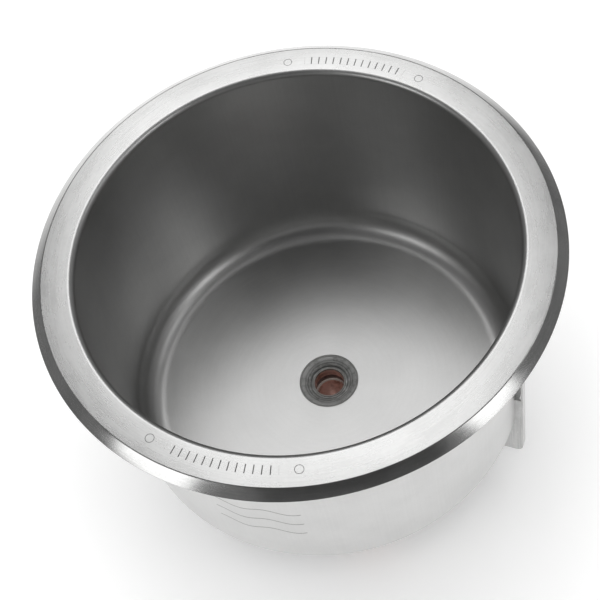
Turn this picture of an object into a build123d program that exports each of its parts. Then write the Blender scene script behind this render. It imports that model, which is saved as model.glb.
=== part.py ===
from build123d import *
from math import asin, atan2, cos, degrees, radians, sin, sqrt
import os

# Drop-in soup kettle well. Millimetres, +Z up. The origin is the centre of the plane in which
# the rim sits on the counter; the heater housing and the drain hang below it.

os.makedirs("parts", exist_ok=True)

# ---------------------------------------------------------------- driving sizes

# Deep-drawn well
wall_radius_top = 129.8       # inside
rim_width = 26.2              # wall to the edge of the turned-down lip
lip_reach = 6.3               # lip, measured outwards
lip_drop = 4.4                # lip, measured down
lip_bend = 1.6
rim_bend = 4.0                # bend from the flat rim into the wall
wall_draft = 1.5              # the drawn wall narrows by this much, radially, down to the floor
floor_bend = 17.0
well_depth = 165.0            # flat rim to floor
sheet = 1.2
gasket_wall_gap = 6.0
gasket_lip_gap = 2.2

# Drain
tube_outer_radius = 11.1
tube_wall = 1.15
drain_head_overhang = 3.2     # beyond the neck
drain_head_thick = 2.2
drain_neck_wall = 4.85
drain_neck_length = 12.0
drain_seal_thick = 1.0
drain_dish_depth = 2.0
drain_mouth_step = 1.15       # bore to the wider mouth
drain_nut_wall = 4.0          # neck to the flats
drain_nut_thick = 5.0
washer_thick = 1.0
stub_length = 9.4
stub_depth = 2.2              # floor to the top of the copper stub
socket_wall = 1.55
socket_gap = 6.3              # from the stub's end to the socket's shoulder
elbow_bend_radius = 14.0
elbow_wall = 1.35
outlet_tail = 11.0            # drain pipe's reach beyond the housing
outlet_bead_height = 1.0      # rolled ring, the stop for the pipe that is joined on
outlet_bead_width = 1.4

# Heater below the floor
plate_thick = 4.0
plate_nut_gap = 3.9
plate_housing_gap = 8.0
element_radius = 3.5
element_housing_gap = 33.0    # housing wall to the middle of the element
element_gap_angle = 26.0
element_leg_length = 15.0
element_pin_radius = 1.6
element_pin_length = 7.0
clamp_ring_thick = 1.5
clamp_ring_inner_reach = 10.0  # from the middle of the element, inwards and outwards
clamp_ring_outer_reach = 21.0
element_stud_radius = 2.5
element_stud_reach = 13.0
element_stud_count = 4
element_nut_thick = 4.0
insulation_thick = 5.0

# Housing below the heater
cover_inset = 33.3            # well wall to housing wall
cover_flange_width = 9.0
cover_sheet = 0.9
cover_height = 51.0
cover_bend = 4.0
cover_gasket_thick = 1.5
cover_stud_radius = 2.0
cover_stud_count = 4
cover_nut_thick = 3.2

# Brackets and hold-downs
bracket_azimuths = {"right": -33.0, "left": 147.0}
bracket_sheet = 1.2
bracket_stand_off = 3.8       # well wall to the bracket's outer face
bracket_top = -52.2
bracket_drop = 27.2           # below the well's underside
bracket_corner = 6.0
bracket_flange_width = 5.0
lug_width = 20.0
window_top = -60.0
window_rise = 43.1            # well floor to the window's lower end
foot_width = 14.0
foot_height = 30.0
tab_width = 16.0
tab_height = 17.0
pivot_overhang = 4.2          # beyond the bracket's outer face
pivot_across = 10.0
pivot_shoulder_radius = 4.0
arm_length = 30.0
arm_width = 12.0
arm_thick = 3.0
arm_park_angle = 12.0         # parked arm leans in towards the wall
boss_length = 6.6
clamp_screw_radius = 3.0
clamp_screw_pitch = 1.0
clamp_travel = 30.0
clamp_pad_radius = 6.0
clamp_pad_thick = 3.0
clamp_pad_gap = 1.9

# Electrical parts
thermostat_reach = 20.0       # from the middle of the element, inwards
control_azimuth = 30.0
limit_azimuth = 150.0
thermostat_radius = 8.5
thermostat_height = 11.0
thermostat_blade_length = 6.5
blade_offset = 5.5            # terminal blades, either side of the thermostat's middle
reset_stem_radius = 1.4
reset_button_radius = 3.2
reset_stand_out = 3.5
gland_radius = 10.0
gland_drop = 26.0             # well's underside to the cable entry's axis
block_width = 38.0
block_depth = 16.0
block_height = 12.0
block_ways = 3
way_pitch = 8.8
way_row = 9.2                 # between the two rows of screws
way_depth = 5.0
terminal_screw_radius = 2.0
terminal_screw_height = 3.2

# Fits
running_clearance = 0.05      # radial, in every turning or sliding pair
thread_clearance = 0.05       # radial, screw in nut
sweat_clearance = 0.05        # radial, copper tube in its socket
hole_clearance = 0.25         # radial, screw through a plain hole
part_gap = 0.3                # between bodies that move past each other

# ---------------------------------------------------------------- worked-out levels

rim_radius = wall_radius_top + rim_width
wall_radius_bottom = wall_radius_top - wall_draft
lip_angle = atan2(lip_drop, lip_reach)
rim_z = lip_drop + sheet * cos(lip_angle)
floor_z = rim_z - well_depth
under_z = floor_z - sheet
tube_bore_radius = tube_outer_radius - tube_wall
socket_bore_radius = tube_outer_radius + sweat_clearance
socket_outer_radius = socket_bore_radius + socket_wall
drain_neck_radius = socket_bore_radius + drain_neck_wall
drain_head_radius = drain_neck_radius + drain_head_overhang
drain_mouth_radius = socket_bore_radius + drain_mouth_step
drain_nut_flats = 2 * (drain_neck_radius + drain_nut_wall)
drain_hole_radius = drain_neck_radius + hole_clearance
recess_radius = drain_head_radius + 2 * hole_clearance
recess_z = floor_z - drain_head_thick - drain_seal_thick
wall_radius_outer_top = wall_radius_top + sheet
wall_radius_outer_bottom = wall_radius_bottom + sheet
gasket_inner_radius = wall_radius_outer_top + gasket_wall_gap
gasket_outer_radius = rim_radius - lip_reach - gasket_lip_gap
cover_radius = wall_radius_bottom - cover_inset
cover_flange_radius = cover_radius + cover_flange_width
outlet_reach = cover_radius + outlet_tail
plate_inner_radius = drain_nut_flats / sqrt(3) + plate_nut_gap
plate_outer_radius = cover_radius - plate_housing_gap
element_ring_radius = cover_radius - element_housing_gap
clamp_ring_inner_radius = element_ring_radius - clamp_ring_inner_reach
clamp_ring_outer_radius = element_ring_radius + clamp_ring_outer_reach
element_stud_ring_radius = element_ring_radius + element_stud_reach
thermostat_ring_radius = element_ring_radius - thermostat_reach
bracket_outer_radius = wall_radius_outer_top + bracket_stand_off
bracket_bottom = under_z - bracket_drop
window_bottom = floor_z + window_rise
pivot_radius = bracket_outer_radius + pivot_overhang

plate_z = under_z - plate_thick
element_z = plate_z - element_radius
clamp_ring_z = element_z - element_radius
insulation_z = clamp_ring_z - clamp_ring_thick
cover_top_z = under_z - cover_gasket_thick
cover_bottom_z = cover_top_z - cover_height


def polar(radius, azimuth):
    return (radius * cos(radians(azimuth)), radius * sin(radians(azimuth)))


def level_plane(azimuth, z=0.0):
    """Horizontal plane at height z on the well's axis, its X along the given azimuth."""
    return Plane(origin=(0, 0, z), x_dir=(*polar(1, azimuth), 0), z_dir=(0, 0, 1))


def radial_plane(azimuth):
    """Upright plane through the axis: X outwards along the azimuth, Y up."""
    return Plane(origin=(0, 0, 0), x_dir=(*polar(1, azimuth), 0), z_dir=(*polar(1, azimuth - 90), 0))


def outward_plane(azimuth, radius, z):
    """Plane square to the azimuth, at a radius and a height, Z pointing outwards."""
    return Plane(origin=(*polar(radius, azimuth), z), x_dir=(*polar(1, azimuth + 90), 0),
                 z_dir=(*polar(1, azimuth), 0))


def save(piece, label):
    piece.part.label = label
    export_step(piece.part, f"parts/{label}.step")


# ---------------------------------------------------------------- the drawn well

# One path runs over the top of the sheet, from the lip's edge to the edge of the drain hole.
skin_points = [
    (rim_radius, rim_z - lip_drop),
    (rim_radius - lip_reach, rim_z),
    (wall_radius_top, rim_z),
    (wall_radius_bottom, floor_z),
    (recess_radius + sheet, floor_z),
    (recess_radius, recess_z),
    (drain_hole_radius, recess_z),
]
recess_bend = sheet + 0.4
skin_bends = [lip_bend, rim_bend, floor_bend, recess_bend, 0.6]

with BuildPart() as well_pan:
    with BuildSketch(Plane.XZ):
        with BuildLine():
            FilletPolyline(*skin_points, radius=skin_bends)
            offset(amount=sheet, side=Side.LEFT)
        make_face()
    revolve(axis=Axis.Z)
save(well_pan, "well_pan")

# Closed-cell gasket between the flat rim and the counter
with BuildPart() as rim_gasket:
    with BuildSketch():
        Circle(gasket_outer_radius)
        Circle(gasket_inner_radius, mode=Mode.SUBTRACT)
    extrude(amount=rim_z - sheet)
save(rim_gasket, "rim_gasket")


# ---------------------------------------------------------------- drain

stub_top_z = floor_z - stub_depth
stub_bottom_z = stub_top_z - stub_length
ledge_z = stub_top_z - 0.6
neck_bore_z = ledge_z - 2.4
neck_bottom_z = floor_z - drain_neck_length

with BuildPart() as drain_flange:
    with BuildSketch(Plane.XZ):
        with BuildLine():
            Polyline(
                (drain_head_radius, floor_z - 0.2),
                (drain_head_radius, floor_z - drain_head_thick),
                (drain_neck_radius, floor_z - drain_head_thick),
                (drain_neck_radius, neck_bottom_z),
                (socket_outer_radius + hole_clearance, neck_bottom_z),
                (socket_outer_radius + hole_clearance, neck_bore_z),
                (socket_bore_radius, neck_bore_z),
                (socket_bore_radius, ledge_z),
                (drain_mouth_radius, ledge_z),
                (drain_mouth_radius, floor_z - drain_dish_depth),
                (13.2, floor_z - 1.5),
                (14.2, floor_z - 1.6),
                (15.0, floor_z - 1.0),
                (18.4, floor_z - 0.1),
                close=True,
            )
        make_face()
    revolve(axis=Axis.Z)
save(drain_flange, "drain_flange")

with BuildPart() as drain_seal:
    with BuildSketch(Plane.XY.offset(recess_z)):
        Circle(drain_head_radius - hole_clearance)
        Circle(drain_neck_radius + thread_clearance, mode=Mode.SUBTRACT)
    extrude(amount=drain_seal_thick)
save(drain_seal, "drain_seal")

with BuildPart() as drain_washer:
    with BuildSketch(Plane.XY.offset(recess_z - sheet)):
        Circle(drain_nut_flats / 2)
        Circle(drain_hole_radius, mode=Mode.SUBTRACT)
    extrude(amount=-washer_thick)
save(drain_washer, "drain_washer")

drain_nut_z = recess_z - sheet - washer_thick
with BuildPart() as drain_locknut:
    with BuildSketch(Plane.XY.offset(drain_nut_z)):
        RegularPolygon(drain_nut_flats / 2, 6, major_radius=False)
        Circle(drain_neck_radius + thread_clearance, mode=Mode.SUBTRACT)
    extrude(amount=-drain_nut_thick)
    chamfer(drain_locknut.edges().group_by(Axis.Z)[0].filter_by(GeomType.CIRCLE), 0.6)
save(drain_locknut, "drain_locknut")

with BuildPart() as drain_stub:
    with BuildSketch(Plane.XY.offset(stub_top_z)):
        Circle(tube_outer_radius)
        Circle(tube_bore_radius, mode=Mode.SUBTRACT)
    extrude(amount=-stub_length)
    chamfer(drain_stub.edges().group_by(Axis.Z)[-1].sort_by(SortBy.RADIUS)[0], 0.5)
save(drain_stub, "drain_stub")

# The elbow turns the drain forwards. Both ends are sockets with an inner shoulder.
socket_mouth_z = neck_bore_z - 0.1
shoulder_z = stub_bottom_z - socket_gap
outlet_z = shoulder_z - 1.0 - elbow_bend_radius
shoulder_y = -elbow_bend_radius - 1.0
socket_depth = socket_mouth_z - shoulder_z
socket_mouth_y = shoulder_y - socket_depth

with BuildPart() as drain_elbow:
    with BuildLine() as elbow_path:
        FilletPolyline((0, 0, shoulder_z), (0, 0, outlet_z), (0, shoulder_y, outlet_z),
                       radius=elbow_bend_radius)
    with BuildSketch(Plane((0, 0, shoulder_z), z_dir=(0, 0, -1))):
        Circle(tube_bore_radius + elbow_wall)
    sweep(path=elbow_path.line)
    with BuildSketch(Plane.XY.offset(shoulder_z - elbow_wall)):
        Circle(socket_outer_radius)
    extrude(amount=socket_depth + elbow_wall)
    with BuildSketch(Plane((0, shoulder_y + elbow_wall, outlet_z), z_dir=(0, -1, 0))):
        Circle(socket_outer_radius)
    extrude(amount=socket_depth + elbow_wall)
    with BuildSketch(Plane((0, 0, shoulder_z), z_dir=(0, 0, -1))):
        Circle(tube_bore_radius)
    sweep(path=elbow_path.line, mode=Mode.SUBTRACT)
    with BuildSketch(Plane.XY.offset(shoulder_z)):
        Circle(socket_bore_radius)
    extrude(amount=socket_depth, mode=Mode.SUBTRACT)
    with BuildSketch(Plane((0, shoulder_y, outlet_z), z_dir=(0, -1, 0))):
        Circle(socket_bore_radius)
    extrude(amount=socket_depth, mode=Mode.SUBTRACT)
save(drain_elbow, "drain_elbow")

outlet_start = -shoulder_y + 1.0
grommet_lip = 2.6             # grommet's reach on either side of the housing wall
outlet_bead_y = cover_radius + grommet_lip + part_gap
with BuildPart() as outlet_tube:
    with BuildSketch(Plane((0, -outlet_start, outlet_z), z_dir=(0, -1, 0))):
        Circle(tube_outer_radius)
    extrude(amount=outlet_reach - outlet_start)
    with BuildSketch(Plane((0, -outlet_bead_y, outlet_z), z_dir=(0, -1, 0))):
        Circle(tube_outer_radius + outlet_bead_height)
    extrude(amount=outlet_bead_width)
    fillet(outlet_tube.edges().filter_by(GeomType.CIRCLE).sort_by(SortBy.RADIUS)[-2:], 0.4)
    with BuildSketch(Plane((0, -outlet_start, outlet_z), z_dir=(0, -1, 0))):
        Circle(tube_bore_radius)
    extrude(amount=outlet_reach - outlet_start, mode=Mode.SUBTRACT)
save(outlet_tube, "outlet_tube")


# ---------------------------------------------------------------- heater under the floor

element_stud_azimuths = [45 + 360 / element_stud_count * i for i in range(element_stud_count)]
element_stud_spots = [polar(element_stud_ring_radius, a) for a in element_stud_azimuths]
thermostat_spots = [polar(thermostat_ring_radius, a) for a in (control_azimuth, limit_azimuth)]
element_nut_flats = 3.2 * element_stud_radius
thermostat_ear = 13.0         # middle of the thermostat to each of its screws
thermostat_screw_radius = 1.5
ear_radius = sqrt(thermostat_ring_radius ** 2 + thermostat_ear ** 2)
ear_turn = degrees(atan2(thermostat_ear, thermostat_ring_radius))
thermostat_screw_spots = [polar(ear_radius, azimuth + turn)
                          for azimuth in (control_azimuth, limit_azimuth) for turn in (-ear_turn, ear_turn)]
strap_width = 8.0
strap_thick = 0.8
blade_width = 6.3             # standard push-on terminal
blade_thick = 0.8

with BuildPart() as heater_plate:
    with BuildSketch(Plane.XY.offset(plate_z)):
        Circle(plate_outer_radius)
        Circle(plate_inner_radius, mode=Mode.SUBTRACT)
        with Locations(*element_stud_spots):
            Circle(element_stud_radius + hole_clearance, mode=Mode.SUBTRACT)
    extrude(amount=plate_thick)
    with BuildSketch(Plane.XY.offset(plate_z)):
        with Locations(*thermostat_screw_spots):
            Circle(thermostat_screw_radius + thread_clearance)
    extrude(amount=plate_thick - 0.5, mode=Mode.SUBTRACT)
save(heater_plate, "heater_plate")

# Sheathed element: an open ring with both ends turned down, and a thin cold pin at each end
element_ends = [90 + element_gap_angle / 2, 90 - element_gap_angle / 2 + 360]
element_end_spots = [polar(element_ring_radius, a) for a in element_ends]
with BuildPart() as heating_element:
    with BuildLine(Plane.XY.offset(element_z)) as element_path:
        CenterArc((0, 0), element_ring_radius, element_ends[0], element_ends[1] - element_ends[0])
    with BuildSketch(Plane(origin=element_path.line @ 0, z_dir=element_path.line % 0)):
        Circle(element_radius)
    sweep(path=element_path.line)
    for spot in element_end_spots:
        with Locations((*spot, element_z)):
            Sphere(element_radius)
    with BuildSketch(Plane.XY.offset(element_z)):
        with Locations(*element_end_spots):
            Circle(element_radius)
    extrude(amount=-element_leg_length)
    with BuildSketch(Plane.XY.offset(element_z - element_leg_length)):
        with Locations(*element_end_spots):
            Circle(element_pin_radius)
    extrude(amount=-element_pin_length)
save(heating_element, "heating_element")

leg_slot_width = 2 * element_ring_radius * sin(radians(element_gap_angle / 2)) + 6 * element_radius


def leg_slot():
    """Slot, open outwards, that leaves the element's two legs free in what lies below it."""
    with Locations((0, (clamp_ring_inner_radius + plate_outer_radius) / 2)):
        Rectangle(leg_slot_width, plate_outer_radius - clamp_ring_inner_radius + 8, mode=Mode.SUBTRACT)


with BuildPart() as element_clamp:
    with BuildSketch(Plane.XY.offset(insulation_z)):
        Circle(clamp_ring_outer_radius)
        Circle(clamp_ring_inner_radius, mode=Mode.SUBTRACT)
        leg_slot()
        with Locations(*element_stud_spots):
            Circle(element_stud_radius + hole_clearance, mode=Mode.SUBTRACT)
    extrude(amount=clamp_ring_thick)
save(element_clamp, "element_clamp")

with BuildPart() as element_studs:
    with BuildSketch(Plane.XY.offset(under_z)):
        with Locations(*element_stud_spots):
            Circle(element_stud_radius)
    extrude(amount=insulation_z - element_nut_thick - 1.5 - under_z)
    chamfer(element_studs.edges().group_by(Axis.Z)[0], 0.4)
save(element_studs, "element_studs")

with BuildPart() as element_nuts:
    with BuildSketch(Plane.XY.offset(insulation_z)):
        with Locations(*element_stud_spots):
            RegularPolygon(element_nut_flats / 2, 6, major_radius=False)
            Circle(element_stud_radius + thread_clearance, mode=Mode.SUBTRACT)
    extrude(amount=-element_nut_thick)
save(element_nuts, "element_nuts")

with BuildPart() as insulation_pad:
    with BuildSketch(Plane.XY.offset(insulation_z)):
        Circle(plate_outer_radius)
        Circle(plate_inner_radius, mode=Mode.SUBTRACT)
        leg_slot()
        with Locations(*element_stud_spots):
            Circle(element_nut_flats * 0.75, mode=Mode.SUBTRACT)
        with Locations(*thermostat_spots):
            Circle(thermostat_radius + thermostat_ear, mode=Mode.SUBTRACT)
    extrude(amount=-insulation_thick)
save(insulation_pad, "insulation_pad")


# ---------------------------------------------------------------- thermostats and reset button

def thermostat(azimuth, guide_length):
    """Snap-disc thermostat: cup, mounting strap with two ears, two blade terminals."""
    cup_z = plate_z - thermostat_height
    base = level_plane(azimuth)
    with BuildPart() as body:
        with BuildSketch(base.offset(plate_z)):
            with Locations((thermostat_ring_radius, 0)):
                Circle(thermostat_radius)
        extrude(amount=-thermostat_height)
        chamfer(body.edges().group_by(Axis.Z)[0], 0.8)
        with BuildSketch(base.offset(plate_z)):
            with Locations((thermostat_ring_radius, 0)):
                SlotCenterToCenter(2 * thermostat_ear, strap_width, rotation=90)
            with Locations((thermostat_ring_radius, thermostat_ear),
                           (thermostat_ring_radius, -thermostat_ear)):
                Circle(thermostat_screw_radius + hole_clearance, mode=Mode.SUBTRACT)
        extrude(amount=-strap_thick)
        with BuildSketch(base.offset(cup_z)):
            with Locations((thermostat_ring_radius + blade_offset, 0),
                           (thermostat_ring_radius - blade_offset, 0)):
                Rectangle(blade_thick, blade_width)
        extrude(amount=-thermostat_blade_length)
        if guide_length:
            with BuildSketch(base.offset(cup_z)):
                with Locations((thermostat_ring_radius, 0)):
                    Circle(reset_stem_radius + 1.6)
            extrude(amount=-guide_length)
            with BuildSketch(base.offset(cup_z - guide_length)):
                with Locations((thermostat_ring_radius, 0)):
                    Circle(reset_stem_radius + running_clearance)
            extrude(amount=guide_length, mode=Mode.SUBTRACT)
    return body


guide_length = 8.0
control_thermostat = thermostat(control_azimuth, 0)
save(control_thermostat, "control_thermostat")
limit_thermostat = thermostat(limit_azimuth, guide_length)
save(limit_thermostat, "limit_thermostat")

strap_z = plate_z - strap_thick
with BuildPart() as thermostat_screws:
    with BuildSketch(Plane.XY.offset(strap_z)):
        with Locations(*thermostat_screw_spots):
            Circle(2 * thermostat_screw_radius)
    extrude(amount=-2.0)
    fillet(thermostat_screws.edges().group_by(Axis.Z)[0], 0.8)
    with BuildSketch(Plane.XY.offset(strap_z)):
        with Locations(*thermostat_screw_spots):
            Circle(thermostat_screw_radius)
    extrude(amount=strap_thick + plate_thick - 1.0)
save(thermostat_screws, "thermostat_screws")

# The button hangs on its collar over a bushing in the housing's floor.
# Its thin stem reaches up into the limit thermostat.
reset_spot = polar(thermostat_ring_radius, limit_azimuth)
reset_travel = 2.5
bushing_flange = 1.2
bushing_radius = reset_button_radius + 2.2
bushing_flange_radius = reset_button_radius + 3.8
bushing_top_z = cover_bottom_z + cover_sheet + 2.0
collar_z = bushing_top_z + part_gap
collar_thick = 1.5
collar_radius = reset_button_radius + 1.4
guide_end_z = plate_z - thermostat_height - guide_length

with BuildPart() as reset_bushing:
    with BuildSketch(Plane.XY.offset(cover_bottom_z)):
        with Locations(reset_spot):
            Circle(bushing_radius)
    extrude(amount=bushing_top_z - cover_bottom_z)
    with BuildSketch(Plane.XY.offset(cover_bottom_z)):
        with Locations(reset_spot):
            Circle(bushing_flange_radius)
    extrude(amount=-bushing_flange)
    with BuildSketch(Plane.XY.offset(cover_bottom_z - bushing_flange)):
        with Locations(reset_spot):
            Circle(reset_button_radius + running_clearance)
    extrude(amount=bushing_top_z - cover_bottom_z + bushing_flange, mode=Mode.SUBTRACT)
save(reset_bushing, "reset_bushing")

button_bottom_z = cover_bottom_z - reset_stand_out
with BuildPart() as reset_button:
    with BuildSketch(Plane.XY.offset(button_bottom_z)):
        with Locations(reset_spot):
            Circle(reset_button_radius)
    extrude(amount=collar_z - button_bottom_z)
    fillet(reset_button.edges().group_by(Axis.Z)[0], 0.8)
    with BuildSketch(Plane.XY.offset(collar_z)):
        with Locations(reset_spot):
            Circle(collar_radius)
    extrude(amount=collar_thick)
    with BuildSketch(Plane.XY.offset(collar_z + collar_thick)):
        with Locations(reset_spot):
            Circle(reset_stem_radius)
    extrude(amount=guide_end_z + 3.0 - collar_z - collar_thick)
save(reset_button, "reset_button")

spring_wire_radius = 0.35
spring_radius = reset_stem_radius + 1.1
spring_bottom_z = collar_z + collar_thick + spring_wire_radius
spring_length = guide_end_z - spring_wire_radius - spring_bottom_z
spring_turns = 6
with BuildPart() as reset_spring:
    with BuildLine() as coil:
        Helix(pitch=spring_length / spring_turns, height=spring_length, radius=spring_radius,
              center=(*reset_spot, spring_bottom_z))
    with BuildSketch(Plane(origin=coil.line @ 0, z_dir=coil.line % 0)):
        Circle(spring_wire_radius)
    sweep(path=coil.line, is_frenet=True)
save(reset_spring, "reset_spring")


# ---------------------------------------------------------------- housing

outlet_hole_radius = tube_outer_radius + 2.5
gland_z = under_z - gland_drop
gland_hole_radius = gland_radius + hole_clearance
cover_stud_azimuths = [15 + 360 / cover_stud_count * i for i in range(cover_stud_count)]
cover_nut_flats = 3.5 * cover_stud_radius
cover_stud_ring_radius = cover_radius + cover_nut_flats / sqrt(3) + 0.6
cover_stud_spots = [polar(cover_stud_ring_radius, a) for a in cover_stud_azimuths]
tab_turn = degrees(asin(tab_width / 2 / cover_radius))
tab_top = bracket_bottom + tab_height
tab_screw_z = (bracket_bottom + tab_top) / 2
tab_screw_radius = 2.0
vent_radius = 2.0
vent_spots = [polar(element_ring_radius - 2, a) for a in range(200, 341, 20)]
block_bottom_z = cover_bottom_z + cover_sheet
block_y = element_ring_radius + 2.0
block_screw_inset = 4.0
block_screw_reach = block_width / 2 - block_screw_inset
block_screw_spots = [(-block_screw_reach, block_y), (block_screw_reach, block_y)]
block_screw_radius = 1.5
earth_spot = polar(element_ring_radius + 10, 48)
earth_stud_radius = 2.0
earth_stud_length = 14.0
small_nut_flats = 7.0         # M4

with BuildPart() as bottom_cover:
    with BuildSketch(Plane.XZ):
        with BuildLine():
            FilletPolyline((cover_flange_radius, cover_top_z), (cover_radius - cover_sheet, cover_top_z),
                           (cover_radius - cover_sheet, block_bottom_z), (0, block_bottom_z),
                           radius=[cover_sheet + 0.6, cover_bend])
            offset(amount=cover_sheet, side=Side.LEFT)
        make_face()
    revolve(axis=Axis.Z)
    with BuildSketch(Plane.XY.offset(cover_top_z - 2 * cover_sheet)):
        with Locations(*cover_stud_spots):
            Circle(cover_stud_radius + hole_clearance)
    extrude(amount=4 * cover_sheet, mode=Mode.SUBTRACT)
    with BuildSketch(Plane((0, 0, outlet_z), z_dir=(0, -1, 0))):
        Circle(outlet_hole_radius)
    extrude(amount=cover_flange_radius, mode=Mode.SUBTRACT)
    with BuildSketch(Plane((0, 0, gland_z), z_dir=(0, 1, 0))):
        Circle(gland_hole_radius)
    extrude(amount=cover_flange_radius, mode=Mode.SUBTRACT)
    for azimuth in bracket_azimuths.values():
        with BuildSketch(outward_plane(azimuth + tab_turn, cover_radius - 5, tab_screw_z)):
            Circle(tab_screw_radius + hole_clearance)
        extrude(amount=10, mode=Mode.SUBTRACT)
    with BuildSketch(Plane.XY.offset(cover_bottom_z)):
        with Locations(reset_spot):
            Circle(bushing_radius)
        with Locations(*vent_spots):
            Circle(vent_radius)
        with Locations(*block_screw_spots):
            Circle(block_screw_radius + hole_clearance)
    extrude(amount=cover_sheet, mode=Mode.SUBTRACT)
save(bottom_cover, "bottom_cover")

with BuildPart() as cover_gasket:
    with BuildSketch(Plane.XY.offset(cover_top_z)):
        Circle(cover_flange_radius)
        Circle(cover_radius - 2, mode=Mode.SUBTRACT)
        with Locations(*cover_stud_spots):
            Circle(cover_stud_radius + hole_clearance, mode=Mode.SUBTRACT)
    extrude(amount=cover_gasket_thick)
save(cover_gasket, "cover_gasket")

flange_under_z = cover_top_z - cover_sheet
with BuildPart() as cover_studs:
    with BuildSketch(Plane.XY.offset(under_z)):
        with Locations(*cover_stud_spots):
            Circle(cover_stud_radius)
    extrude(amount=flange_under_z - cover_nut_thick - 1.5 - under_z)
    chamfer(cover_studs.edges().group_by(Axis.Z)[0], 0.3)
save(cover_studs, "cover_studs")

with BuildPart() as cover_nuts:
    with BuildSketch(Plane.XY.offset(flange_under_z)):
        with Locations(*cover_stud_spots):
            RegularPolygon(cover_nut_flats / 2, 6, major_radius=False)
            Circle(cover_stud_radius + thread_clearance, mode=Mode.SUBTRACT)
    extrude(amount=-cover_nut_thick)
save(cover_nuts, "cover_nuts")

# Grommet in the housing wall: two lips, joined by a neck in the hole
grommet_neck_radius = outlet_hole_radius - 0.5 * hole_clearance
grommet_lip_radius = grommet_neck_radius + 2.2
with BuildPart() as outlet_grommet:
    with BuildSketch(Plane((0, -cover_radius + cover_sheet + grommet_lip, outlet_z), z_dir=(0, -1, 0))):
        Circle(grommet_lip_radius)
    extrude(amount=2 * grommet_lip + cover_sheet)
    with BuildSketch(Plane.XY.offset(cover_bottom_z)):
        Circle(cover_radius)
        Circle(cover_radius - cover_sheet, mode=Mode.SUBTRACT)
    extrude(amount=cover_height, mode=Mode.SUBTRACT)
    with BuildSketch(Plane((0, -cover_radius + cover_sheet + grommet_lip, outlet_z), z_dir=(0, -1, 0))):
        Circle(grommet_neck_radius)
    extrude(amount=2 * grommet_lip + cover_sheet)
    with BuildSketch(Plane((0, 0, outlet_z), z_dir=(0, -1, 0))):
        Circle(tube_outer_radius)
    extrude(amount=2 * cover_radius, mode=Mode.SUBTRACT)
save(outlet_grommet, "outlet_grommet")


# ---------------------------------------------------------------- cable entry and terminals

cable_radius = 4.5
gland_hex_flats = 24.0
gland_inner_reach = 9.0       # threaded shank inside the housing
gland_shank_length = 22.0
gland_hex_thick = 5.0
gland_seal_thick = 1.9
gland_seal_length = 12.0
gland_cap_hex_length = 8.0
gland_cap_nose_length = 5.0
gland_cap_thread = 9.0
seal_bore_radius = cable_radius + gland_seal_thick + 0.1
with BuildPart() as cable_gland:
    with BuildSketch(Plane((0, cover_radius - gland_inner_reach, gland_z), z_dir=(0, 1, 0))):
        Circle(gland_radius)
    extrude(amount=gland_shank_length)
    with BuildSketch(Plane((0, cover_radius + 0.1, gland_z), z_dir=(0, 1, 0))):
        RegularPolygon(gland_hex_flats / 2, 6, major_radius=False)
    extrude(amount=gland_hex_thick)
    with BuildSketch(Plane((0, 0, gland_z), z_dir=(0, 1, 0))):
        Circle(seal_bore_radius)
    extrude(amount=2 * cover_radius, mode=Mode.SUBTRACT)
save(cable_gland, "cable_gland")

gland_cap_y = cover_radius + 0.1 + gland_hex_thick + part_gap
with BuildPart() as gland_cap:
    with BuildSketch(Plane((0, gland_cap_y, gland_z), z_dir=(0, 1, 0))):
        RegularPolygon(gland_hex_flats / 2, 6, major_radius=False)
    extrude(amount=gland_cap_hex_length)
    with BuildSketch(Plane((0, gland_cap_y + gland_cap_hex_length, gland_z), z_dir=(0, 1, 0))):
        Circle(gland_hex_flats / 2 - 0.5)
    extrude(amount=gland_cap_nose_length, taper=18)
    with BuildSketch(Plane((0, gland_cap_y + gland_cap_thread, gland_z), z_dir=(0, -1, 0))):
        Circle(gland_radius + thread_clearance)
    extrude(amount=gland_cap_thread, mode=Mode.SUBTRACT)
    with BuildSketch(Plane((0, gland_cap_y, gland_z), z_dir=(0, 1, 0))):
        Circle(cable_radius + 0.5)
    extrude(amount=gland_cap_hex_length + gland_cap_nose_length, mode=Mode.SUBTRACT)
save(gland_cap, "gland_cap")

with BuildPart() as gland_seal:
    with BuildSketch(Plane((0, cover_radius + 2, gland_z), z_dir=(0, 1, 0))):
        Circle(cable_radius + gland_seal_thick)
        Circle(cable_radius, mode=Mode.SUBTRACT)
    extrude(amount=gland_seal_length)
save(gland_seal, "gland_seal")

locknut_gap = 1.3             # lets the flat nut's corners clear the round wall
with BuildPart() as gland_locknut:
    with BuildSketch(Plane((0, cover_radius - cover_sheet - locknut_gap, gland_z), z_dir=(0, -1, 0))):
        RegularPolygon(gland_hex_flats / 2 + 1, 6, major_radius=False)
        Circle(gland_radius + thread_clearance, mode=Mode.SUBTRACT)
    extrude(amount=4.0)
save(gland_locknut, "gland_locknut")

way_spots = [((i - (block_ways - 1) / 2) * way_pitch, side * way_row / 2)
             for i in range(block_ways) for side in (-1, 1)]
with BuildPart() as terminal_block:
    with BuildSketch(Plane.XY.offset(block_bottom_z)):
        with Locations((0, block_y)):
            RectangleRounded(block_width, block_depth, 1.5)
        with Locations(*block_screw_spots):
            Circle(block_screw_radius + hole_clearance, mode=Mode.SUBTRACT)
    extrude(amount=block_height)
    with BuildSketch(Plane.XY.offset(block_bottom_z + block_height)):
        with Locations((0, block_y)):
            with Locations(*way_spots):
                Circle(terminal_screw_radius + 0.4)
    extrude(amount=-way_depth, mode=Mode.SUBTRACT)
save(terminal_block, "terminal_block")

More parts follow.
